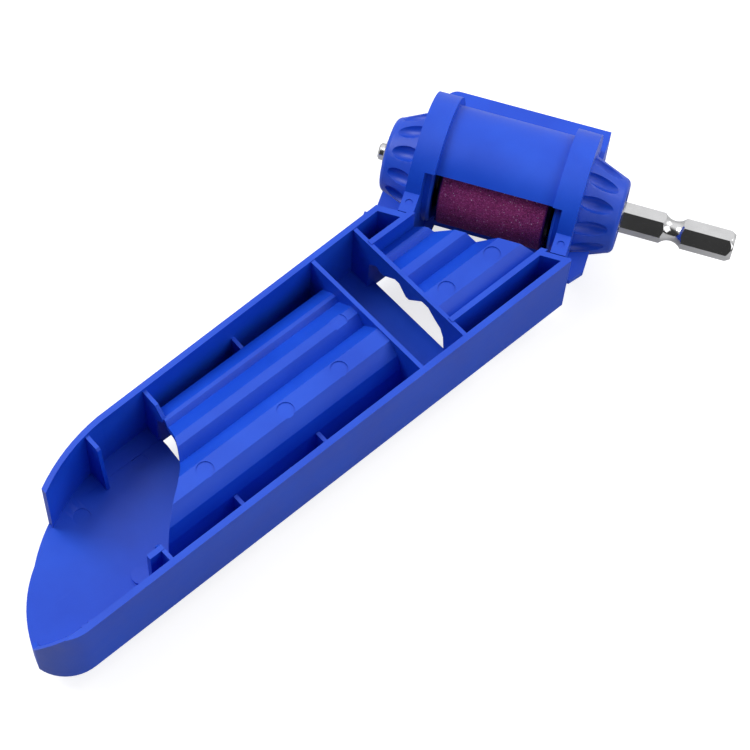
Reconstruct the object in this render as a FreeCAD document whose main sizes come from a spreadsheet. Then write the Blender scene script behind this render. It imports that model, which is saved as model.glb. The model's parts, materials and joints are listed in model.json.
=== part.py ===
import FreeCAD, Part
import math
import os
import Sketcher
from FreeCAD import Placement, Rotation, Vector

# Drill bit sharpener that is driven by a power drill.
# A moulded handle tray and wheel housing carry an abrasive wheel on an arbor with a hex shank.
# The tray is drawn with its near wall on y = 0, its wheel end at x = 0 and its foot at z = 0.
# The arbor runs along the local X axis of the spindle frame, from its plain tip towards the shank.

doc = FreeCAD.newDocument("drill_bit_sharpener")
sheet = doc.addObject("Spreadsheet::Sheet", "Dims")

DIMENSIONS = {
    # tray
    "tray_height": 18.7,
    "tray_length": 145.8,
    "rib_wall": 1.0,
    "front_rib": 31.6,
    "rear_rib": 44.4,
    "bridge_thick": 1.5,
    "scoop_start": 93.0,
    "scoop_thick": 1.6,
    "pin_mark_radius": 2.0,
    "pin_mark_depth": 0.25,
    # spindle frame: its origin is the arbor's plain tip
    "axis_x": -8.9,
    "axis_y": 54.5,
    "axis_height": 10.3,
    "point_angle": 59.0,
    # wheel housing, along and around the spindle
    "hoop_radius": 17.0,
    "hoop_start": 10.3,
    "hoop_width": 5.7,
    "drum_width": 27.7,
    "drum_radius": 15.2,
    "chamber_radius": 13.7,
    "cap_bore": 12.9,
    "cap_radius": 12.0,
    "leg_width": 3.5,
    "end_wall_face": -20.4,
    "shelf_reach": 23.1,
    "shelf_height": -0.6,
    "shelf_thick": 1.5,
    "skirt_depth": 12.5,
    # end caps
    "left_cap_length": 7.9,
    "right_cap_length": 9.2,
    "spigot_length": 5.4,
    "spigot_radius": 12.85,
    "seat_radius": 6.52,
    "flute_count": 12,
    # arbor
    "arbor_length": 85.0,
    "tip_radius": 2.0,
    "journal_radius": 3.0,
    "hex_flats": 6.35,
    "groove_start": 68.3,
    "groove_width": 4.9,
    "groove_radius": 2.4,
    # wheel and what clamps it
    "wheel_radius": 12.5,
    "wheel_length": 25.0,
    "wheel_start": 17.4,
    "wheel_bore": 5.0,
    "washer_radius": 9.0,
    "washer_thick": 1.2,
    "nut_flats": 10.0,
    "nut_height": 3.0,
    "sleeve_radius": 4.4,
    "shaft_gap": 0.02,
    # bearings
    "bearing_width": 5.0,
    "bearing_inset": 0.2,
    "ball_gap": 0.04,
}
for row, (alias, value) in enumerate(DIMENSIONS.items(), start=1):
    sheet.set("A%d" % row, alias)
    sheet.set("B%d" % row, str(value))
    sheet.setAlias("B%d" % row, alias)
doc.recompute()

ORIGIN = -1
START, END = 1, 2


def dim(alias):
    """A driving dimension, read from the sheet."""
    return float(sheet.get(alias))


def bind(item, prop, expression):
    """Ties one property to the sheet."""
    item.setExpression(prop, expression)


def new_body(label):
    body = doc.addObject("PartDesign::Body", label)
    body.Label = label
    return body


def origin_feature(body, role):
    for feature in body.Origin.OriginFeatures:
        if feature.Role == role:
            return feature
    raise RuntimeError("no origin feature " + role)


def new_sketch(body, name, role="XY_Plane", offset=None):
    """A sketch on one of the body's planes, moved along the plane's normal by an expression."""
    sketch = body.newObject("Sketcher::SketchObject", name)
    sketch.AttachmentSupport = [(origin_feature(body, role), "")]
    sketch.MapMode = "FlatFace"
    if offset is not None:
        bind(sketch, "AttachmentOffset.Base.z", offset)
    return sketch


def add_loop(sketch, corners):
    """A closed loop of lines; a corner is a pair of numbers or of sheet expressions."""
    texts = [(str(x), str(y)) for x, y in corners]
    points = [Vector(float(sheet.evalExpression(x)), float(sheet.evalExpression(y)), 0)
              for x, y in texts]
    first = sketch.GeometryCount
    count = len(points)
    for index in range(count):
        edge = Part.LineSegment(points[index], points[(index + 1) % count])
        sketch.addGeometry(edge, False)
    for index in range(count):
        here = first + index
        following = first + (index + 1) % count
        sketch.addConstraint(Sketcher.Constraint("Coincident", here, END, following, START))
    for index, (x, y) in enumerate(texts):
        for kind, text, value in (("DistanceX", x, points[index].x), ("DistanceY", y, points[index].y)):
            number = sketch.addConstraint(
                Sketcher.Constraint(kind, ORIGIN, START, first + index, START, value))
            if "Dims." in text:
                bind(sketch, "Constraints[%d]" % number, text)
    return sketch


def add_path(sketch, steps):
    """A closed loop of lines and arcs; an arc step gives the point it passes and its end."""
    start = Vector(*steps[0], 0)
    here = start
    first = sketch.GeometryCount
    for step in steps[1:]:
        if len(step) == 2:
            end = Vector(*step, 0)
            sketch.addGeometry(Part.LineSegment(here, end), False)
        else:
            through = Vector(step[0], step[1], 0)
            end = Vector(step[2], step[3], 0)
            sketch.addGeometry(Part.Arc(here, through, end), False)
        here = end
    return first


def add_circle(sketch, x, y, radius):
    number = sketch.addGeometry(Part.Circle(Vector(x, y, 0), Vector(0, 0, 1), dim(radius)), False)
    limit = sketch.addConstraint(Sketcher.Constraint("Radius", number, dim(radius)))
    bind(sketch, "Constraints[%d]" % limit, "Dims." + radius)
    return number


def pad(body, sketch, name, length, reverse=False):
    feature = body.newObject("PartDesign::Pad", name)
    feature.Profile = sketch
    feature.Reversed = reverse
    bind(feature, "Length", str(length))
    return feature


def pocket(body, sketch, name, length, reverse=False, both_ways=False):
    """A pocket, with a check that it removed something."""
    doc.recompute()
    before = body.Shape.Volume
    feature = body.newObject("PartDesign::Pocket", name)
    feature.Profile = sketch
    feature.Reversed = reverse
    feature.Midplane = both_ways
    bind(feature, "Length", str(length))
    doc.recompute()
    if body.Shape.Volume >= before - 0.01:
        raise RuntimeError("pocket %s cut nothing" % name)
    return feature


def revolve(body, sketch, name, cut=False):
    kind = "PartDesign::Groove" if cut else "PartDesign::Revolution"
    feature = body.newObject(kind, name)
    feature.Profile = sketch
    feature.ReferenceAxis = (sketch, ["H_Axis"])
    feature.Angle = 360
    return feature


def turned(label, corners):
    """A solid of revolution about the spindle, from its half section."""
    body = new_body(label)
    sketch = new_sketch(body, label + "_section")
    add_loop(sketch, corners)
    revolve(body, sketch, label + "_turn")
    return body


# ---------------------------------------------------------------- tray

FAR_RIDGES = [(33.5, 12.0), (30.1, 14.3), (29.2, 14.3), (28.1, 13.3), (24.0, 16.4), (21.8, 16.4),
              (19.6, 13.8), (15.4, 17.9)]


def rest_profile(front):
    """The ridged plate's upper face, from the far channel to the near one, as (y, z)."""
    if front:
        near = [(10.9, 17.9), (8.3, 16.2), (6.4, 14.7)]
    else:
        near = [(11.3, 17.9), (8.6, 15.0), (7.4, 11.0), (6.9, 6.0)]
    return FAR_RIDGES + near


def drill_profile(front):
    """The plate's lower face, where three sizes of drill lie, from near to far, as (y, z)."""
    if front:
        near = [(6.9, 6.0), (7.4, 10.2), (8.5, 12.7), (10.7, 14.3)]
    else:
        near = [(8.2, 6.0), (8.8, 10.4), (9.8, 13.4), (11.6, 15.4)]
    return near + [(12.8, 16.2), (14.9, 16.2), (18.8, 12.1), (19.9, 12.1), (22.3, 14.8),
                   (23.7, 14.8), (27.2, 12.1), (28.6, 12.1), (29.5, 12.9), (30.0, 12.9), (32.2, 10.9)]


NEAR_INNER = 5.6
NEAR_TUNNEL = 6.9
FAR_TUNNEL = 32.2
FAR_INNER = 33.5

# plan points of the tray's outline
TIP_X = -dim("tray_length")
FAR_CORNER = (-23.7, 39.5)
OUTLINE = [
    (-1.0, 0.0),
    (-136.5, 0.0),
    (-142.4, 2.0, TIP_X, 7.2),
    (-141.0, 17.3, -133.0, 25.2),
    (-120.6, 33.5, -105.0, 37.5),
    FAR_CORNER,
    (-0.62, 1.03),
    (-0.3, 0.28, -1.0, 0.0),
]
HOLLOW = [
    (-2.4, 1.5),
    (-136.5, 1.5),
    (-141.7, 3.2, -144.3, 7.4),
    (-140.0, 16.9, -131.8, 24.5),
    (-120.0, 32.4, -105.0, 36.1),
    (-24.6, 38.1),
    (-2.4, 1.5),
]

scoop = new_body("scoop")
scoop_sketch = new_sketch(scoop, "scoop_plan")
scoop_x = -dim("scoop_start")
add_path(scoop_sketch, [(scoop_x - 0.7, 0.0)] + OUTLINE[1:5]
         + [(scoop_x, 37.8), (scoop_x, 30.0), (scoop_x - 0.7, 22.0), (scoop_x - 0.7, 0.0)])
pad(scoop, scoop_sketch, "scoop_block", 7.0)

# the thumb scoop's dished upper face and the hollow under it
DISH_START = -108.0
DISH_MIDDLE = -129.0
DISH_END = -150.0
MIDDLE_RISE = 1.03
END_RISE = 4.1
floor = dim("scoop_thick")
dish = new_sketch(scoop, "dish_section", "XZ_Plane")
add_path(dish, [(-80.0, floor), (DISH_START, floor),
                (DISH_MIDDLE, floor + MIDDLE_RISE, DISH_END, floor + END_RISE),
                (DISH_END, 20.0), (-80.0, 20.0), (-80.0, floor)])
pocket(scoop, dish, "dish", 120, both_ways=True)

under = new_sketch(scoop, "under_section", "XZ_Plane")
add_path(under, [(DISH_START, -1.0), (DISH_START, 0.0), (DISH_MIDDLE, MIDDLE_RISE, DISH_END, END_RISE),
                 (DISH_END, -1.0), (DISH_START, -1.0)])
pocket(scoop, under, "under", 120, both_ways=True)

tray = new_body("tray")


def ridged_plate(name, start, length, front):
    """The plate that the drill rests on, with its two side walls, from start towards the tip."""
    section = new_sketch(tray, name, "YZ_Plane")
    section.AttachmentOffset = Placement(Vector(0, 0, start), Rotation())
    near_wall = [(NEAR_INNER, 0.0), (NEAR_TUNNEL, 0.0)] if front else [(6.7, 0.0), (8.1, 0.0)]
    outline = [(FAR_INNER, 0.0)] + rest_profile(front) + near_wall
    outline = outline + drill_profile(front) + [(FAR_TUNNEL, 0.0)]
    add_loop(section, outline)
    pad(tray, section, name + "_pad", length, reverse=True)


ridged_plate("main_plate", -dim("rear_rib"), 72.0, False)
# the plate's hollow end over the scoop
hollow_end = new_sketch(tray, "plate_end_plan", "XY_Plane", "Dims.scoop_thick + 0.1")
add_path(hollow_end, [(-93.0, 35.9), (-93.0, 33.6), (-95.9, 22.0, -104.0, 12.8), (-112.8, 5.5),
                      (-119.0, 5.5), (-119.0, 35.9), (-93.0, 35.9)])
pocket(tray, hollow_end, "plate_end", 30.0, reverse=True)

# bridge that keeps the drill down
bridge = new_sketch(tray, "bridge_plan")
add_loop(bridge, [("-Dims.rear_rib - 0.5", 1.0), ("-Dims.front_rib + 1.6", 1.0),
                  ("-Dims.front_rib + 1.6", 38.6), ("-Dims.rear_rib - 0.5", 38.6)])
pad(tray, bridge, "bridge", "Dims.bridge_thick")

walls = new_sketch(tray, "wall_plan")
add_path(walls, OUTLINE)
add_path(walls, HOLLOW)
pad(tray, walls, "walls", "Dims.tray_height")

# floors that close the channels between the plate and the walls
for name, corners in (
        ("near_land", [(-93.6, 0.8), (4.0, 0.8), (4.0, 7.3), (-93.6, 7.3)]),
        ("far_land", [(-93.6, 32.9), (4.0, 32.9), (4.0, 37.0), (-24.0, 38.9), (-93.6, 37.2)])):
    land = new_sketch(tray, name)
    add_loop(land, corners)
    pad(tray, land, name + "_floor", "Dims.bridge_thick")

# the rim drops to the scoop's edge round the tip
rim = new_sketch(tray, "rim_section", "YZ_Plane")
rim.AttachmentOffset = Placement(Vector(0, 0, -124.3), Rotation())
add_path(rim, [(45.0, -1.0), (12.4, -1.0), (11.6, 3.6), (10.6, 4.7, 9.2, 5.8), (5.8, 12.4, 2.0, 18.0),
               (1.35, 18.9), (1.35, 30.0), (45.0, 30.0), (45.0, -1.0)])
pocket(tray, rim, "rim_cut", 30.0, reverse=False)

# the wheel end is open between the two pockets
mouth = new_sketch(tray, "mouth_plan")
add_loop(mouth, [(-30.0, NEAR_TUNNEL), (6.0, NEAR_TUNNEL), (6.0, FAR_TUNNEL), (-30.0, FAR_TUNNEL)])
pocket(tray, mouth, "mouth", 60.0, reverse=True)

def cross_rib(name, centre):
    """A thin wall across the tray that is open where the drill passes."""
    rib = new_sketch(tray, name, "YZ_Plane", "-Dims.%s - Dims.rib_wall / 2" % centre)
    top = dim("tray_height") - 0.2
    outline = [(1.0, 0.0), (NEAR_TUNNEL, 0.0)] + drill_profile(True)
    outline = outline + [(FAR_TUNNEL, 0.0), (38.2, 0.0), (38.2, top), (1.0, top)]
    add_loop(rib, outline)
    pad(tray, rib, name + "_wall", "Dims.rib_wall")


cross_rib("front_cross_rib", "front_rib")
cross_rib("rear_cross_rib", "rear_rib")


ridged_plate("front_plate", 4.0, 4.0 + dim("front_rib"), True)

# pocket walls beside the front plate stand up to the rim
for name, low, high in (("near_pocket", NEAR_INNER, NEAR_TUNNEL), ("far_pocket", FAR_TUNNEL, FAR_INNER)):
    plan = new_sketch(tray, name + "_plan")
    add_loop(plan, [(-31.6, low), (4.0, low), (4.0, high), (-31.6, high)])
    pad(tray, plan, name, "Dims.tray_height")

# the wheel end is cut back parallel to the arbor
LEAN = math.radians(dim("point_angle"))
ALONG = Vector(math.cos(LEAN), -math.sin(LEAN), 0)
ACROSS = Vector(math.sin(LEAN), math.cos(LEAN), 0)
TIP = Vector(dim("axis_x"), dim("axis_y"), 0)


def on_spindle(along, across):
    """Plan point of the spindle frame, in the tray's frame."""
    point = TIP + ALONG * along + ACROSS * across
    return (point.x, point.y)


PLATE_END = -19.7
trim = new_sketch(tray, "wheel_end_plan")
add_loop(trim, [on_spindle(-20, PLATE_END), on_spindle(70, PLATE_END), on_spindle(70, 30),
                on_spindle(-20, 30)])
pocket(tray, trim, "wheel_end", 60.0, reverse=True)


def gusset(name, x, corners):
    """A thin rib across the tray at x, between a wall and the plate."""
    rib = new_sketch(tray, name, "YZ_Plane")
    rib.AttachmentOffset = Placement(Vector(0, 0, x - 0.45), Rotation())
    add_loop(rib, corners)
    pad(tray, rib, name + "_wall", 0.9)


gusset("far_gusset_front", -68.2, [(33.0, 0.0), (37.6, 0.0), (37.6, 11.9), (33.0, 11.5)])
gusset("far_gusset_middle", -93.2, [(32.2, 0.0), (37.2, 0.0), (37.2, 17.8), (32.2, 17.3),
                                    (29.8, 14.2), (30.0, 12.9), (32.2, 10.9)])
gusset("far_gusset_rear", -109.4, [(29.8, 0.2), (36.6, 0.2), (36.6, 18.2), (31.9, 18.0), (31.4, 17.4)])
gusset("near_gusset_front", -69.3, [(1.0, 0.0), (7.2, 0.0), (7.2, 11.0), (1.0, 11.0)])
gusset("near_gusset_middle", -92.5, [(1.0, 0.0), (7.2, 0.0), (7.2, 11.0), (1.0, 11.0)])
gusset("near_gusset_rear", -113.9, [(1.0, 0.0), (6.8, 0.0), (6.8, 16.2), (5.6, 18.2), (1.0, 18.4)])

cheek = new_sketch(tray, "cheek_plan")
add_loop(cheek, [(-117.3, 4.4), (-113.5, 4.4), (-113.5, 5.6), (-117.3, 5.6)])
pad(tray, cheek, "cheek_block", 18.4)

# ejector pin marks on the ridges and in the scoop
marks = new_sketch(tray, "ridge_marks", "XY_Plane", "17.9")
for x, y in ((-26.4, 13.1), (-12.4, 13.2), (-58.0, 13.2), (-73.4, 13.0), (-95.5, 13.2)):
    add_circle(marks, x, y, "pin_mark_radius")
pocket(tray, marks, "ridge_mark_cut", "Dims.pin_mark_depth")
ridge_mark = new_sketch(tray, "second_ridge_mark", "XY_Plane", "16.4")
add_circle(ridge_mark, -49.6, 22.9, "pin_mark_radius")
pocket(tray, ridge_mark, "second_ridge_mark_cut", "Dims.pin_mark_depth")
for x, y, bottom in ((-100.1, 30.6, 1.35), (-117.9, 28.4, 1.6)):
    name = "scoop_mark_%d" % round(-x)
    mark = new_sketch(scoop, name, "XY_Plane", str(bottom))
    add_circle(mark, x, y, "pin_mark_radius")
    pocket(scoop, mark, name + "_cut", 3.0, reverse=True)
disc = new_sketch(scoop, "scoop_disc", "XY_Plane", "Dims.scoop_thick / 2")
add_circle(disc, -117.2, 9.1, "pin_mark_radius")
pad(scoop, disc, "scoop_disc_pad", "Dims.scoop_thick / 2 + 1.0")
for x in (-132.0, -133.8):
    name = "scoop_nib_%d" % round(-x)
    nib = new_sketch(scoop, name, "XY_Plane", "Dims.scoop_thick + 0.6")
    add_loop(nib, [(x - 0.45, 6.0), (x + 0.45, 6.0), (x + 0.45, 7.6), (x - 0.45, 7.6)])
    pad(scoop, nib, name + "_pad", 1.8)

# ---------------------------------------------------------------- wheel housing

HOOP_START = dim("hoop_start")
HOOP_END = HOOP_START + 2 * dim("hoop_width") + dim("drum_width")
LEG_TOP = dim("tray_height") - dim("axis_height")

housing = new_body("housing")
shell_section = new_sketch(housing, "shell_section")
add_loop(shell_section, [
    ("Dims.hoop_start", 9.0),
    ("Dims.hoop_start", "Dims.hoop_radius"),
    ("Dims.hoop_start + Dims.hoop_width", "Dims.hoop_radius"),
    ("Dims.hoop_start + Dims.hoop_width", "Dims.drum_radius"),
    ("Dims.hoop_start + Dims.hoop_width + Dims.drum_width", "Dims.drum_radius"),
    ("Dims.hoop_start + Dims.hoop_width + Dims.drum_width", "Dims.hoop_radius"),
    ("Dims.hoop_start + 2 * Dims.hoop_width + Dims.drum_width", "Dims.hoop_radius"),
    ("Dims.hoop_start + 2 * Dims.hoop_width + Dims.drum_width", 9.0),
])
revolve(housing, shell_section, "shell_turn")

# the window shows the wheel to the drill's point
WINDOW_TOP = math.radians(180 - 48)
WINDOW_FOOT = math.radians(180 + 62)
REACH = 40.0
window = new_sketch(housing, "window_wedge", "YZ_Plane", "Dims.hoop_start + Dims.leg_width")
add_loop(window, [
    (0.0, 0.0),
    (REACH * math.cos(WINDOW_TOP), REACH * math.sin(WINDOW_TOP)),
    (-REACH, 0.0),
    (REACH * math.cos(WINDOW_FOOT), REACH * math.sin(WINDOW_FOOT)),
])
pocket(housing, window, "window", "2 * (Dims.hoop_width - Dims.leg_width) + Dims.drum_width",
       reverse=True)

# flat plate round the drum: a rear shelf and two wings that reach back to the tray
SHELF_EDGE = dim("shelf_reach")
SHELF_START = HOOP_START + 0.3
SHELF_END = HOOP_END + 1.1
belt = new_sketch(housing, "belt_plan", "XY_Plane", "Dims.shelf_height - Dims.shelf_thick")
add_path(belt, [
    (SHELF_START, 0.0), (4.0, 0.0), (4.0, -15.4), (2.8, -17.0), (1.7, -17.0), (1.7, -18.4),
    (4.6, -20.3), (HOOP_START + 3.4, -20.3), (HOOP_START + 3.4, -12.0), (HOOP_END - 3.4, -12.0),
    (HOOP_END - 3.4, -20.3), (51.4, -20.3), (53.8, -17.0), (53.8, 0.0), (SHELF_END, 0.0),
    (SHELF_END, SHELF_EDGE), (SHELF_START + 2.8, SHELF_EDGE),
    (SHELF_START + 0.8, SHELF_EDGE - 0.8, SHELF_START, SHELF_EDGE - 2.8), (SHELF_START, 0.0),
])
pad(housing, belt, "belt", "Dims.shelf_thick")

WEB = dim("shelf_thick")
skirt = new_sketch(housing, "skirt_plan", "XY_Plane", "Dims.shelf_height - Dims.skirt_depth")
add_path(skirt, [
    (SHELF_START, 8.0), (SHELF_START + WEB, 8.0), (SHELF_START + WEB, SHELF_EDGE - WEB),
    (SHELF_END - WEB, SHELF_EDGE - WEB), (SHELF_END - WEB, 8.0), (SHELF_END, 8.0),
    (SHELF_END, SHELF_EDGE), (SHELF_START + 2.8, SHELF_EDGE),
    (SHELF_START + 0.8, SHELF_EDGE - 0.8, SHELF_START, SHELF_EDGE - 2.8), (SHELF_START, 8.0),
])
pad(housing, skirt, "skirt", "Dims.skirt_depth - 0.5")


def leg(name, offset):
    """A plate that joins one hoop to the tray's end wall."""
    plate = new_sketch(housing, name, "YZ_Plane", offset)
    foot = -dim("axis_height")
    face = dim("end_wall_face") + 0.2
    add_loop(plate, [(face, foot), (face, LEG_TOP), (-14.6, LEG_TOP), (-8.0, 8.0), (-8.0, foot)])
    pad(housing, plate, name + "_plate", "Dims.leg_width")


leg("left_leg", "Dims.hoop_start")
leg("right_leg", "Dims.hoop_start + 2 * Dims.hoop_width + Dims.drum_width - Dims.leg_width")

# bore for the caps' spigots, the wheel's chamber, and room for each cap's cone
DRUM_START = HOOP_START + dim("hoop_width")
DRUM_END = DRUM_START + dim("drum_width")
bore = new_sketch(housing, "bore_section")
add_loop(bore, [
    (-8.0, 0.0), (-8.0, 9.2), (1.5, 9.2), (HOOP_START, "Dims.cap_bore"),
    (DRUM_START, "Dims.cap_bore"), (DRUM_START, "Dims.chamber_radius"),
    (DRUM_END, "Dims.chamber_radius"), (DRUM_END, "Dims.cap_bore"), (HOOP_END, "Dims.cap_bore"),
    (59.4, 9.2), (70.0, 9.2), (70.0, 0.0),
])
revolve(housing, bore, "bore", cut=True)
leg_marks = new_sketch(housing, "leg_marks", "XY_Plane", str(LEG_TOP))
for centre in (HOOP_START + 1.75, HOOP_END - 1.75):
    number = leg_marks.addGeometry(Part.Circle(Vector(centre, -17.4, 0), Vector(0, 0, 1), 0.9), False)
    leg_marks.addConstraint(Sketcher.Constraint("Radius", number, 0.9))
pocket(housing, leg_marks, "leg_mark_cut", "Dims.pin_mark_depth")

SPINDLE = Placement(Vector(dim("axis_x"), dim("axis_y"), dim("axis_height")),
                    Rotation(Vector(0, 0, 1), -dim("point_angle")))
housing.Placement = SPINDLE

moulding = doc.addObject("Part::MultiFuse", "body")
moulding.Label = "body"
moulding.Shapes = [tray, scoop, housing]
moulding.Refine = True

# ---------------------------------------------------------------- end caps


def end_cap(label, length_alias):
    """A cap with a spigot for the hoop, a bearing seat and scooped grips; its inner end faces -X."""
    body = new_body(label)
    section = new_sketch(body, label + "_section")
    length = dim(length_alias)
    depth = length - dim("bearing_inset") - dim("bearing_width")
    spigot = -dim("spigot_length")
    spigot_radius = dim("spigot_radius")
    base = dim("cap_radius")
    add_path(section, [
        (spigot, spigot_radius - 0.6), (spigot + 0.6, spigot_radius), (0.0, spigot_radius),
        (0.0, base), (0.3, base), (length - 1.3, 9.0),
        (length - 0.4, 8.5, length, 7.7), (length, dim("seat_radius")),
        (depth, dim("seat_radius")), (depth, 5.4), (depth - 1.0, 5.4), (0.2, 8.6),
        (spigot, 9.5), (spigot, spigot_radius - 0.6),
    ])
    revolve(body, section, label + "_turn")
    doc.recompute()
    before = body.Shape.Volume
    slope = math.atan2(base - 9.0, length - 1.6)
    scoop_cut = body.newObject("PartDesign::SubtractiveEllipsoid", label + "_flute")
    scoop_cut.Radius1 = 1.9
    scoop_cut.Radius2 = 0.53 * length
    scoop_cut.Radius3 = 1.9
    scoop_cut.AttachmentSupport = [(origin_feature(body, "XY_Plane"), "")]
    scoop_cut.MapMode = "FlatFace"
    scoop_cut.AttachmentOffset = Placement(
        Vector(0.40 * length, 0, base - 0.75), Rotation(Vector(0, 1, 0), math.degrees(slope) * 0.6))
    doc.recompute()
    if body.Shape.Volume >= before - 0.5:
        raise RuntimeError("the grip of %s cut nothing" % label)
    ring = body.newObject("PartDesign::PolarPattern", label + "_flutes")
    ring.Originals = [scoop_cut]
    ring.Axis = (section, ["H_Axis"])
    ring.Angle = 360
    bind(ring, "Occurrences", "Dims.flute_count")
    body.Tip = ring
    return body


def along(distance, outward=1):
    """Placement on the spindle axis; outward -1 turns the part end for end."""
    turn = Rotation() if outward > 0 else Rotation(Vector(0, 0, 1), 180)
    return SPINDLE.multiply(Placement(Vector(distance, 0, 0), turn))


LEFT_FACE = HOOP_START
RIGHT_FACE = HOOP_END
left_cap = end_cap("left_end_cap", "left_cap_length")
left_cap.Placement = along(LEFT_FACE, -1)
right_cap = end_cap("right_end_cap", "right_cap_length")
right_cap.Placement = along(RIGHT_FACE)

# ---------------------------------------------------------------- bearings

BEARING = dim("bearing_width")
PITCH = 4.75
BALL = 1.0
BALL_COUNT = 8
LEFT_BEARING = LEFT_FACE - dim("left_cap_length") + dim("bearing_inset")
RIGHT_BEARING = RIGHT_FACE + dim("right_cap_length") - dim("bearing_inset") - BEARING


def raceway(body, label):
    """The ball groove of one race."""
    groove = new_sketch(body, label + "_raceway")
    middle = BEARING / 2
    radius = BALL + dim("ball_gap")
    add_path(groove, [(middle - radius, PITCH), (middle, PITCH + radius, middle + radius, PITCH),
                      (middle, PITCH - radius, middle - radius, PITCH)])
    revolve(body, groove, label + "_raceway_turn", cut=True)


def outer_race(label):
    step = 0.5
    body = turned(label, [
        (0.25, 6.5), (BEARING - 0.25, 6.5), (BEARING, 6.25), (BEARING, 5.8), (BEARING - step, 5.8),
        (BEARING - step, 5.4), (step, 5.4), (step, 5.8), (0.0, 5.8), (0.0, 6.25),
    ])
    raceway(body, label)
    return body


def inner_race(label):
    body = turned(label, [
        (0.2, "Dims.journal_radius + Dims.shaft_gap"),
        (BEARING - 0.2, "Dims.journal_radius + Dims.shaft_gap"),
        (BEARING, 3.2), (BEARING, 4.1), (0.0, 4.1), (0.0, 3.2),
    ])
    raceway(body, label)
    return body


def ball_set(label):
    """All the balls of one bearing, placed on the pitch circle."""
    middle = BEARING / 2
    balls = []
    for number in range(BALL_COUNT):
        angle = 2 * math.pi * number / BALL_COUNT
        ball = doc.addObject("Part::Sphere", "%s_%d" % (label, number + 1))
        ball.Radius = BALL
        ball.Placement = Placement(
            Vector(middle, PITCH * math.cos(angle), PITCH * math.sin(angle)), Rotation())
        balls.append(ball)
    group = doc.addObject("Part::Compound", label)
    group.Label = label
    group.Links = balls
    return group


def cage(label):
    """A ring between the races with a pocket for each ball."""
    middle = BEARING / 2
    body = turned(label, [(middle - 1.5, 4.42), (middle - 1.5, 5.08), (middle + 1.5, 5.08),
                          (middle + 1.5, 4.42)])
    hole = new_sketch(body, label + "_hole")
    number = hole.addGeometry(Part.Circle(Vector(middle, 0, 0), Vector(0, 0, 1), BALL + 0.06), False)
    hole.addConstraint(Sketcher.Constraint("Radius", number, BALL + 0.06))
    cut = pocket(body, hole, label + "_pocket", 6.0, reverse=True)
    ring = body.newObject("PartDesign::PolarPattern", label + "_pockets")
    ring.Originals = [cut]
    ring.Axis = (origin_feature(body, "X_Axis"), [""])
    ring.Angle = 360
    ring.Occurrences = BALL_COUNT
    body.Tip = ring
    return body


def shields(label):
    """The two thin shields that close the gap between the races."""
    body = new_body(label)
    section = new_sketch(body, label + "_section")
    for start in (0.12, BEARING - 0.42):
        add_loop(section, [(start, 4.42), (start, 5.78), (start + 0.3, 5.78), (start + 0.3, 4.42)])
    revolve(body, section, label + "_turn")
    return body


bearing_parts = []
for side, start in (("left", LEFT_BEARING), ("right", RIGHT_BEARING)):
    for build, name in ((outer_race, "outer_race"), (inner_race, "inner_race"),
                        (ball_set, "balls"), (cage, "cage"), (shields, "shields")):
        item = build("%s_%s" % (side, name))
        item.Placement = along(start)
        bearing_parts.append(item)

# ---------------------------------------------------------------- spindle stack

HEX_START = RIGHT_BEARING + BEARING + 0.05
HEX_RADIUS = dim("hex_flats") / math.sqrt(3)
arbor = new_body("arbor")
shaft = new_sketch(arbor, "shaft_section")
add_loop(shaft, [
    (0.0, 0.0), (0.0, "Dims.tip_radius - 0.4"), (0.4, "Dims.tip_radius"),
    (LEFT_BEARING - 0.2, "Dims.tip_radius"), (LEFT_BEARING - 0.2, "Dims.journal_radius - 0.2"),
    (LEFT_BEARING, "Dims.journal_radius"), (HEX_START, "Dims.journal_radius"), (HEX_START, 0.0),
])
revolve(arbor, shaft, "shaft_turn")
hexagon = new_sketch(arbor, "hex_section", "YZ_Plane", str(HEX_START - 0.01))
TWIST = math.radians(16)
add_loop(hexagon, [(-HEX_RADIUS * math.sin(TWIST + side * math.pi / 3),
                    HEX_RADIUS * math.cos(TWIST + side * math.pi / 3)) for side in range(6)])
pad(arbor, hexagon, "hex_shank", "Dims.arbor_length - %s" % (HEX_START - 0.01))
waist = new_sketch(arbor, "waist_section")
waist_start = dim("groove_start")
waist_end = waist_start + dim("groove_width")
waist_mid = waist_start + dim("groove_width") / 2
top = 4.2
add_path(waist, [
    (waist_start, top), (waist_start, 3.5), (waist_start + 1.0, 2.75, waist_mid, dim("groove_radius")),
    (waist_end - 1.0, 2.75, waist_end, 3.5), (waist_end, top), (waist_start, top),
])
revolve(arbor, waist, "waist", cut=True)
nose = new_sketch(arbor, "nose_section")
END_X = dim("arbor_length")
add_loop(nose, [(END_X - 1.2, 4.0), (END_X - 1.2, 3.67), (END_X, 2.9), (END_X + 1, 2.9),
                (END_X + 1, 4.0)])
revolve(arbor, nose, "nose", cut=True)
collar = new_sketch(arbor, "collar_section")
add_loop(collar, [(HEX_START - 1, 4.2), (HEX_START - 1, 3.25), (HEX_START, 3.25),
                  (HEX_START + 0.5, 3.7), (HEX_START + 0.5, 4.2)])
revolve(arbor, collar, "collar", cut=True)
arbor.Placement = along(0)

WHEEL_START = dim("wheel_start")
WHEEL_END = WHEEL_START + dim("wheel_length")
WASHER = dim("washer_thick")
FIT = dim("journal_radius") + dim("shaft_gap")

wheel = turned("grinding_wheel", [
    (0.0, "Dims.wheel_bore"), (0.0, "Dims.wheel_radius - 0.3"), (0.3, "Dims.wheel_radius"),
    ("Dims.wheel_length - 0.3", "Dims.wheel_radius"),
    ("Dims.wheel_length", "Dims.wheel_radius - 0.3"), ("Dims.wheel_length", "Dims.wheel_bore"),
])
wheel.Placement = along(WHEEL_START)

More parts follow.
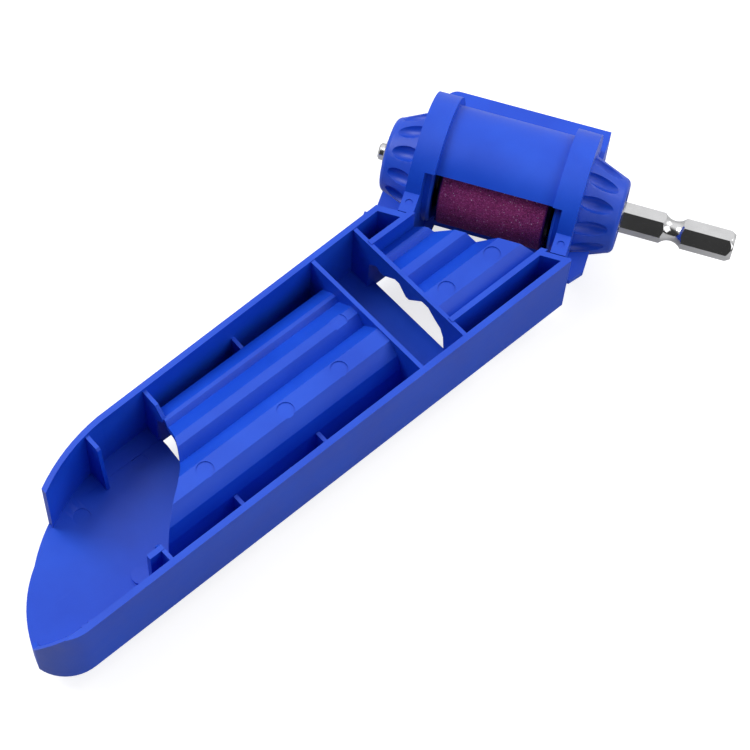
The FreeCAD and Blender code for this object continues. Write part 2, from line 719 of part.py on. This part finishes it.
bush = turned("wheel_bush", [
    (0.3, "Dims.journal_radius + Dims.shaft_gap"), (0.0, 3.4),
    (0.0, "Dims.wheel_bore - Dims.shaft_gap"),
    ("Dims.wheel_length", "Dims.wheel_bore - Dims.shaft_gap"), ("Dims.wheel_length", 3.4),
    ("Dims.wheel_length - 0.3", "Dims.journal_radius + Dims.shaft_gap"),
])
bush.Placement = along(WHEEL_START)


def clamp_washer(label):
    """A washer that is dished towards the wheel's rim; its wheel side faces +X."""
    return turned(label, [
        (0.0, "Dims.journal_radius + Dims.shaft_gap"), (0.0, "Dims.washer_radius - 1.2"),
        (0.5, "Dims.washer_radius"), ("Dims.washer_thick", "Dims.washer_radius"),
        ("Dims.washer_thick", "Dims.washer_radius - 2"),
        ("Dims.washer_thick - 0.2", "Dims.washer_radius - 2.4"),
        ("Dims.washer_thick - 0.2", "Dims.journal_radius + Dims.shaft_gap"),
    ])


clamp_washer("left_clamp_washer").Placement = along(WHEEL_START - WASHER)
clamp_washer("right_clamp_washer").Placement = along(WHEEL_END + WASHER, -1)

SPRING = 1.0
spring_washer = new_body("spring_washer")
spring_section = new_sketch(spring_washer, "spring_section")
add_loop(spring_section, [(0.0, 3.1), (0.0, 5.2), (SPRING, 5.2), (SPRING, 3.1)])
revolve(spring_washer, spring_section, "spring_turn")
slit = new_sketch(spring_washer, "slit_section", "YZ_Plane", "-0.5")
add_loop(slit, [(-0.2, 2.5), (0.6, 2.5), (0.2, 6.0), (-0.6, 6.0)])
pocket(spring_washer, slit, "slit", 3.0, reverse=True)
spring_washer.Placement = along(WHEEL_START - WASHER - SPRING)

NUT_START = WHEEL_START - WASHER - SPRING - dim("nut_height")
nut = new_body("lock_nut")
nut_plan = new_sketch(nut, "nut_plan", "YZ_Plane")
NUT_RADIUS = dim("nut_flats") / math.sqrt(3)
add_loop(nut_plan, [(NUT_RADIUS * math.cos(side * math.pi / 3),
                     NUT_RADIUS * math.sin(side * math.pi / 3)) for side in range(6)])
pad(nut, nut_plan, "nut_block", "Dims.nut_height")
nut_bore = new_sketch(nut, "nut_bore", "YZ_Plane", "-1")
number = nut_bore.addGeometry(Part.Circle(Vector(0, 0, 0), Vector(0, 0, 1), FIT), False)
nut_bore.addConstraint(Sketcher.Constraint("Radius", number, FIT))
pocket(nut, nut_bore, "nut_bore_cut", 6.0, reverse=True)
crown = new_sketch(nut, "crown_section")
HEIGHT = dim("nut_height")
for face, tilt in ((0.0, 1), (HEIGHT, -1)):
    add_loop(crown, [(face - tilt, 5.0), (face, 5.0), (face + 0.45 * tilt, NUT_RADIUS + 0.1),
                     (face + 0.45 * tilt, 7.0), (face - tilt, 7.0)])
revolve(nut, crown, "crown", cut=True)
nut.Placement = along(NUT_START)


def sleeve(label, start, end):
    """A spacer tube between a bearing's inner race and the clamped stack."""
    gap = 0.03
    length = end - start - 2 * gap
    body = turned(label, [
        (0.0, "Dims.journal_radius + Dims.shaft_gap"), (0.0, 3.9), (0.4, 4.1),
        (0.8, "Dims.sleeve_radius"), (length - 0.8, "Dims.sleeve_radius"), (length - 0.4, 4.1),
        (length, 3.9), (length, "Dims.journal_radius + Dims.shaft_gap"),
    ])
    body.Placement = along(start + gap)
    return body


sleeve("left_spacer", LEFT_BEARING + BEARING, NUT_START)
sleeve("right_spacer", WHEEL_END + WASHER, RIGHT_BEARING)

ring = turned("retaining_ring", [
    (0.0, "Dims.tip_radius + Dims.shaft_gap"), (0.0, 3.1), (0.2, 3.4), (0.6, 3.4), (0.8, 3.1),
    (0.8, "Dims.tip_radius + Dims.shaft_gap"),
])
ring.Placement = along(LEFT_BEARING - 1.05)

# ---------------------------------------------------------------- export

doc.recompute()
for item in doc.Objects:
    if "Invalid" in item.State or "Error" in item.State:
        raise RuntimeError("%s did not build: %s" % (item.Label, item.State))

NODES = [moulding, left_cap, right_cap] + bearing_parts + [arbor, wheel, bush] + [
    doc.getObject(name) for name in ("left_clamp_washer", "right_clamp_washer", "spring_washer",
                                     "lock_nut", "left_spacer", "right_spacer", "retaining_ring")]

# the spline faces' own boxes are loose, so the tight ones are taken
box = FreeCAD.BoundBox()
for node in NODES:
    box.add(node.Shape.optimalBoundingBox(False, False))
SHIFT = Placement(Vector(-box.Center.x, -box.Center.y, -box.ZMin), Rotation())

os.makedirs("parts", exist_ok=True)
for node in NODES:
    node.Placement = SHIFT.multiply(node.Placement)
doc.recompute()
for node in NODES:
    shape = node.Shape
    if shape.isNull() or not shape.isValid() or shape.Volume < 0.1:
        raise RuntimeError("bad shape: " + node.Label)
    shape.exportStep("parts/%s.step" % node.Label)
    print("%-20s %10.2f mm3  solids %d" % (node.Label, shape.Volume, len(shape.Solids)))
print("size", box.XLength, box.YLength, box.ZLength, "shift", SHIFT.Base)
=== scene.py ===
"""The looks of a drill bit sharpener: moulded blue plastic, a bonded abrasive wheel and a steel arbor."""

import json
import math

import bpy
from mathutils import Matrix, Vector

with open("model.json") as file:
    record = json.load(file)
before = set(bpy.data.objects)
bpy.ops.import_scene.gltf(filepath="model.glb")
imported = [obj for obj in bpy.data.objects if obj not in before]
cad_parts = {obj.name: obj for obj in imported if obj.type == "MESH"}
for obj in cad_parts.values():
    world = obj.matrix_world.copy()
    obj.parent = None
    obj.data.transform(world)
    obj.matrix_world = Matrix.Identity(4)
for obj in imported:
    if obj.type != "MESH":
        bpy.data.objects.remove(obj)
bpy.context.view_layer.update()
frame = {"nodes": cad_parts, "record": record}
NODES = frame["nodes"]
RECORD = frame["record"]
MM = 0.001

# plastic
DEEP_BLUE = (0.004, 0.055, 0.520)
CLEAR_BLUE = (0.007, 0.074, 0.610)
SCUFFED_BLUE = (0.05, 0.12, 0.60)
CLOUD_SCALE = 55.0
SCUFF_SCALE = 9.0
SCUFF_STRETCH = (6, 60, 60)
SCUFF_TURN = (0, 0, 0.2)
TOOL_GRAIN_SCALE = 2600.0
WAVE_SCALE = 130.0
WAVE_DEPTH = 0.6 * MM
TOOL_GRAIN_DEPTH = 0.12 * MM

# abrasive
GRIT_SCALE = 5200.0
PORE_SCALE = 2600.0
PORE_DEPTH = 0.16 * MM
DUST_SCALE = 420.0
DUST_DEPTH = 0.4 * MM
GRIT_TONES = [
    (0.0, (0.086, 0.008, 0.055)), (0.45, (0.245, 0.023, 0.138)),
    (0.85, (0.360, 0.042, 0.200)), (1.0, (0.48, 0.12, 0.33)),
]
DUST_TONE = (0.315, 0.037, 0.175)
CRYSTAL_TONE = (0.66, 0.42, 0.60)

# steel: the tone, the roughness and the strength of the tool marks of each slot
STEELS = {
    "chrome_steel": ((0.72, 0.72, 0.73), 0.10, 0.15),
    "bearing_steel": ((0.70, 0.70, 0.71), 0.16, 0.2),
    "bush_steel": ((0.52, 0.52, 0.53), 0.28, 0.3),
    "black_steel": ((0.045, 0.042, 0.050), 0.40, 0.3),
    "shield_steel": ((0.58, 0.58, 0.60), 0.22, 0.2),
    "cage_brass": ((0.72, 0.52, 0.24), 0.30, 0.3),
}
MARK_SCALE = 900.0
MARK_ZOOM = (3, 3, 3)
MARK_DEPTH = 0.04 * MM
STAIN_SCALE = 160.0
STAIN_SHADE = 0.86
ROUGHNESS_SPREAD = 0.08

# softened edges
WELD_GAP = 0.001 * MM
MOULDED_EDGE = 0.22 * MM
TURNED_EDGE = 0.12 * MM
EDGE_ANGLE = 28.0
CAP_EDGE_ANGLE = 24.0
EDGE_SEGMENTS = 2

# stage and lights; a lamp is its place, its side and its power
FLOOR_HALF = 1.0
FLOOR_GLOW = 0.72
FLOOR_SCALE = 6.0
FLOOR_TONES = [(0.3, (0.48, 0.48, 0.485)), (0.7, (0.52, 0.52, 0.52))]
DOME = 1.06
BRIGHT_SIDE = math.radians(-45.0)
DARK_TO_BRIGHT = (-0.40, 0.10, 0.05, 1.0)
LOW_TO_HIGH = (0.0, 0.6, 0.6, 1.0)
WHITE = (1.0, 1.0, 1.0, 1.0)
LAMP_AIM = (0.0, 0.0, 0.015)
LAMPS = {
    "key": ((-0.25, 0.55, 0.75), 0.5, 5.2),
    "fill": ((0.15, -0.8, 0.55), 0.8, 3.2),
    "rim": ((0.7, -0.2, 0.55), 0.4, 1.6),
}

# camera
AZIMUTH = math.radians(-45.41)
ELEVATION = math.radians(60.13)
ROLL = math.radians(4.13)
DISTANCE = 0.475
TARGET = Vector((0.00431, -0.00858, 0.0167))
LENS = 103.54
CLIP_START = 0.01

# ---------------------------------------------------------------- node helpers


class Recipe:
    """A material's node tree, with short calls for the nodes that the recipes share."""

    def __init__(self, name):
        self.material = bpy.data.materials.new(name)
        self.material.use_nodes = True
        self.tree = self.material.node_tree
        self.shader = self.tree.nodes["Principled BSDF"]
        self.place = self.tree.nodes.new("ShaderNodeTexCoord").outputs["Object"]

    def add(self, kind, **settings):
        """A new node, with its own settings."""
        node = self.tree.nodes.new(kind)
        for key, value in settings.items():
            setattr(node, key, value)
        return node

    def link(self, source, target):
        self.tree.links.new(source, target)

    def set(self, **values):
        """Plain numbers on the shader's own sockets; an underscore stands for a space."""
        for key, value in values.items():
            self.shader.inputs[key.replace("_", " ")].default_value = value

    def stretched(self, scale, turn=(0, 0, 0)):
        """The object's coordinates, scaled and turned."""
        node = self.add("ShaderNodeMapping")
        node.inputs["Scale"].default_value = scale
        node.inputs["Rotation"].default_value = turn
        self.link(self.place, node.inputs["Vector"])
        return node.outputs["Vector"]

    def noise(self, scale, detail=4.0, roughness=0.55, where=None):
        node = self.add("ShaderNodeTexNoise")
        node.inputs["Scale"].default_value = scale
        node.inputs["Detail"].default_value = detail
        node.inputs["Roughness"].default_value = roughness
        self.link(where or self.place, node.inputs["Vector"])
        return node.outputs["Fac"]

    def cells(self, scale, output="Distance"):
        node = self.add("ShaderNodeTexVoronoi")
        node.inputs["Scale"].default_value = scale
        self.link(self.place, node.inputs["Vector"])
        return node.outputs[output]

    def fit(self, value, low, high, new_low, new_high):
        """The value with low..high mapped to new_low..new_high, and held at both ends."""
        node = self.add("ShaderNodeMapRange")
        set_range(node, low, high, new_low, new_high)
        self.link(value, node.inputs["Value"])
        return node.outputs["Result"]

    def ramp(self, value, stops):
        node = self.add("ShaderNodeValToRGB")
        while len(node.color_ramp.elements) < len(stops):
            node.color_ramp.elements.new(0.5)
        for element, (position, colour) in zip(node.color_ramp.elements, stops):
            element.position = position
            element.color = (*colour, 1.0)
        self.link(value, node.inputs["Fac"])
        return node.outputs["Color"]

    def mix(self, amount, first, second):
        """Blends the first colour, a socket, into the second, a plain colour, by an amount socket."""
        node = self.add("ShaderNodeMix", data_type="RGBA")
        sockets = [s for s in node.inputs if s.type == "RGBA"]
        self.link(amount, node.inputs["Factor"])
        self.link(first, sockets[0])
        sockets[1].default_value = (*second, 1.0)
        return next(s for s in node.outputs if s.type == "RGBA")

    def bump(self, height, strength, depth, normal=None):
        node = self.add("ShaderNodeBump")
        node.inputs["Strength"].default_value = strength
        node.inputs["Distance"].default_value = depth
        self.link(height, node.inputs["Height"])
        if normal:
            self.link(normal, node.inputs["Normal"])
        return node.outputs["Normal"]

    def feed(self, socket, source):
        self.link(source, self.shader.inputs[socket])


def set_range(node, low, high, new_low, new_high):
    """The four limits of a Map Range node."""
    for name, number in (("From Min", low), ("From Max", high),
                         ("To Min", new_low), ("To Max", new_high)):
        node.inputs[name].default_value = number


# ---------------------------------------------------------------- materials


def blue_plastic():
    """Semi-matt injection moulded plastic: fine tool texture, faint flow clouds and rubbed scuffs."""
    kit = Recipe("blue_plastic")
    clouds = kit.noise(CLOUD_SCALE, detail=5.0)
    body = kit.ramp(clouds, [(0.32, DEEP_BLUE), (0.68, CLEAR_BLUE)])
    along = kit.stretched(SCUFF_STRETCH, SCUFF_TURN)
    streaks = kit.noise(SCUFF_SCALE, detail=8.0, roughness=0.7, where=along)
    scuffs = kit.fit(streaks, 0.62, 0.80, 0.0, 0.22)
    kit.feed("Base Color", kit.mix(scuffs, body, SCUFFED_BLUE))
    grain = kit.noise(TOOL_GRAIN_SCALE, detail=2.0)
    waves = kit.noise(WAVE_SCALE, detail=3.0)
    kit.feed("Roughness", kit.fit(clouds, 0.3, 0.7, 0.38, 0.48))
    soft = kit.bump(waves, 0.12, WAVE_DEPTH)
    kit.feed("Normal", kit.bump(grain, 0.10, TOOL_GRAIN_DEPTH, soft))
    kit.set(Specular_IOR_Level=0.36, Subsurface_Weight=0.05, Subsurface_Scale=0.002)
    return kit.material


def abrasive():
    """Bonded ruby grit with open pores and bright crystal faces."""
    kit = Recipe("abrasive")
    split = kit.add("ShaderNodeSeparateColor")
    kit.link(kit.cells(GRIT_SCALE, output="Color"), split.inputs["Color"])
    tone = kit.ramp(split.outputs["Red"], GRIT_TONES)
    clouds = kit.noise(DUST_SCALE, detail=6.0)
    dusty = kit.mix(kit.fit(clouds, 0.35, 0.75, 0.0, 0.5), tone, DUST_TONE)
    sparkle = kit.fit(split.outputs["Green"], 0.984, 0.992, 0.0, 1.0)
    kit.feed("Base Color", kit.mix(sparkle, dusty, CRYSTAL_TONE))
    kit.feed("Roughness", kit.fit(sparkle, 0.0, 1.0, 0.85, 0.25))
    rough = kit.bump(kit.cells(PORE_SCALE), 0.6, PORE_DEPTH)
    kit.feed("Normal", kit.bump(clouds, 0.5, DUST_DEPTH, rough))
    kit.set(Specular_IOR_Level=0.30)
    return kit.material


def steel(name, tone, rough, brushing):
    """Metal with fine tool marks and a little uneven tarnish."""
    kit = Recipe(name)
    marks = kit.noise(MARK_SCALE, detail=3.0, where=kit.stretched(MARK_ZOOM))
    stain = kit.noise(STAIN_SCALE)
    dark = tuple(STAIN_SHADE * channel for channel in tone)
    kit.feed("Base Color", kit.ramp(stain, [(0.3, dark), (0.7, tone)]))
    kit.feed("Roughness", kit.fit(marks, 0.3, 0.7, rough, rough + ROUGHNESS_SPREAD))
    kit.feed("Normal", kit.bump(marks, brushing, MARK_DEPTH))
    kit.set(Metallic=1.0)
    return kit.material


def dress():
    """Gives every node the material of its slot."""
    materials = {"blue_plastic": blue_plastic(), "abrasive": abrasive()}
    for name, finish in STEELS.items():
        materials[name] = steel(name, *finish)
    for entry in RECORD["subparts"]:
        mesh = NODES[entry["node"]].data
        mesh.materials.clear()
        mesh.materials.append(materials[entry["material_slot"]])


# ---------------------------------------------------------------- softened edges


def soften(node, width, angle=EDGE_ANGLE):
    """Rounds a CAD node's edges with modifiers; its own mesh stays as it is."""
    piece = NODES[node]
    weld = piece.modifiers.new("weld", "WELD")
    weld.merge_threshold = WELD_GAP
    bevel = piece.modifiers.new("edges", "BEVEL")
    bevel.width = width
    bevel.segments = EDGE_SEGMENTS
    bevel.limit_method = "ANGLE"
    bevel.angle_limit = math.radians(angle)
    bevel.use_clamp_overlap = True
    bevel.harden_normals = False
    even = piece.modifiers.new("even", "WEIGHTED_NORMAL")
    even.keep_sharp = True


# ---------------------------------------------------------------- stage, lights and camera


def placed(name, data):
    """A new object in the scene."""
    piece = bpy.data.objects.new(name, data)
    bpy.context.scene.collection.objects.link(piece)
    return piece


def floor():
    """A pale table, lit from within as the lens sees it, so that shadows stay faint."""
    mesh = bpy.data.meshes.new("floor")
    corners = [(-FLOOR_HALF, -FLOOR_HALF, 0), (FLOOR_HALF, -FLOOR_HALF, 0),
               (FLOOR_HALF, FLOOR_HALF, 0), (-FLOOR_HALF, FLOOR_HALF, 0)]
    mesh.from_pydata(corners, [], [(0, 1, 2, 3)])
    piece = placed("floor", mesh)
    kit = Recipe("floor_paper")
    kit.feed("Base Color", kit.ramp(kit.noise(FLOOR_SCALE), FLOOR_TONES))
    ray = kit.add("ShaderNodeLightPath")
    kit.feed("Emission Strength", kit.fit(ray.outputs["Is Camera Ray"], 0.0, 1.0, 0.0, FLOOR_GLOW))
    kit.set(Roughness=0.9, Specular_IOR_Level=0.1, Emission_Color=WHITE)
    mesh.materials.append(kit.material)


def area_light(name, place, side, power):
    lamp = bpy.data.lights.new(name, "AREA")
    lamp.shape = "RECTANGLE"
    lamp.size = side
    lamp.size_y = side
    lamp.energy = power
    piece = placed(name, lamp)
    piece.location = place
    piece.rotation_euler = (Vector(LAMP_AIM) - Vector(place)).to_track_quat("-Z", "Y").to_euler()


def sky():
    """A studio room: bright on the far side of the object, dark behind the lens, white as a backdrop."""
    world = bpy.data.worlds.new("studio")
    world.use_nodes = True
    tree = world.node_tree
    new, link = tree.nodes.new, tree.links.new
    dome = tree.nodes["Background"]
    place = new("ShaderNodeTexCoord")
    turn = new("ShaderNodeMapping")
    turn.inputs["Rotation"].default_value = (0.0, 0.0, BRIGHT_SIDE)
    split = new("ShaderNodeSeparateXYZ")
    link(place.outputs["Generated"], turn.inputs["Vector"])
    link(turn.outputs["Vector"], split.inputs["Vector"])
    side = new("ShaderNodeMapRange")
    set_range(side, *DARK_TO_BRIGHT)
    link(split.outputs["X"], side.inputs["Value"])
    height = new("ShaderNodeMapRange")
    set_range(height, *LOW_TO_HIGH)
    link(split.outputs["Z"], height.inputs["Value"])
    both = new("ShaderNodeMath")
    both.operation = "MULTIPLY"
    link(side.outputs["Result"], both.inputs[0])
    link(height.outputs["Result"], both.inputs[1])
    level = new("ShaderNodeMath")
    level.operation = "MULTIPLY"
    level.inputs[1].default_value = DOME
    link(both.outputs["Value"], level.inputs[0])
    dome.inputs["Color"].default_value = WHITE
    link(level.outputs["Value"], dome.inputs["Strength"])
    backdrop = new("ShaderNodeBackground")
    backdrop.inputs["Color"].default_value = WHITE
    seen = new("ShaderNodeLightPath")
    mix = new("ShaderNodeMixShader")
    link(seen.outputs["Is Camera Ray"], mix.inputs["Fac"])
    link(dome.outputs["Background"], mix.inputs[1])
    link(backdrop.outputs["Background"], mix.inputs[2])
    link(mix.outputs["Shader"], tree.nodes["World Output"].inputs["Surface"])
    bpy.context.scene.world = world


def studio():
    """The room, its three lamps and a plain view of their light."""
    sky()
    for name, (place, side, power) in LAMPS.items():
        area_light(name, place, side, power)
    bpy.context.scene.view_settings.view_transform = "Standard"


def camera():
    """Looks at the target from its azimuth and elevation, rolled about the line of sight."""
    back = Vector((math.sin(AZIMUTH) * math.cos(ELEVATION), -math.cos(AZIMUTH) * math.cos(ELEVATION),
                   math.sin(ELEVATION)))
    right = Vector((0, 0, 1)).cross(back).normalized()
    up = back.cross(right)
    turned_right = math.cos(ROLL) * right + math.sin(ROLL) * up
    turned_up = math.cos(ROLL) * up - math.sin(ROLL) * right
    data = bpy.data.cameras.new("camera")
    data.lens = LENS
    data.clip_start = CLIP_START
    piece = placed("camera", data)
    piece.matrix_world = Matrix.Translation(TARGET + DISTANCE * back) @ Matrix(
        (turned_right, turned_up, back)).transposed().to_4x4()
    bpy.context.scene.camera = piece


dress()
soften("body", MOULDED_EDGE)
for cap in ("left_end_cap", "right_end_cap"):
    soften(cap, MOULDED_EDGE, angle=CAP_EDGE_ANGLE)
soften("arbor", TURNED_EDGE)
floor()
studio()
camera()
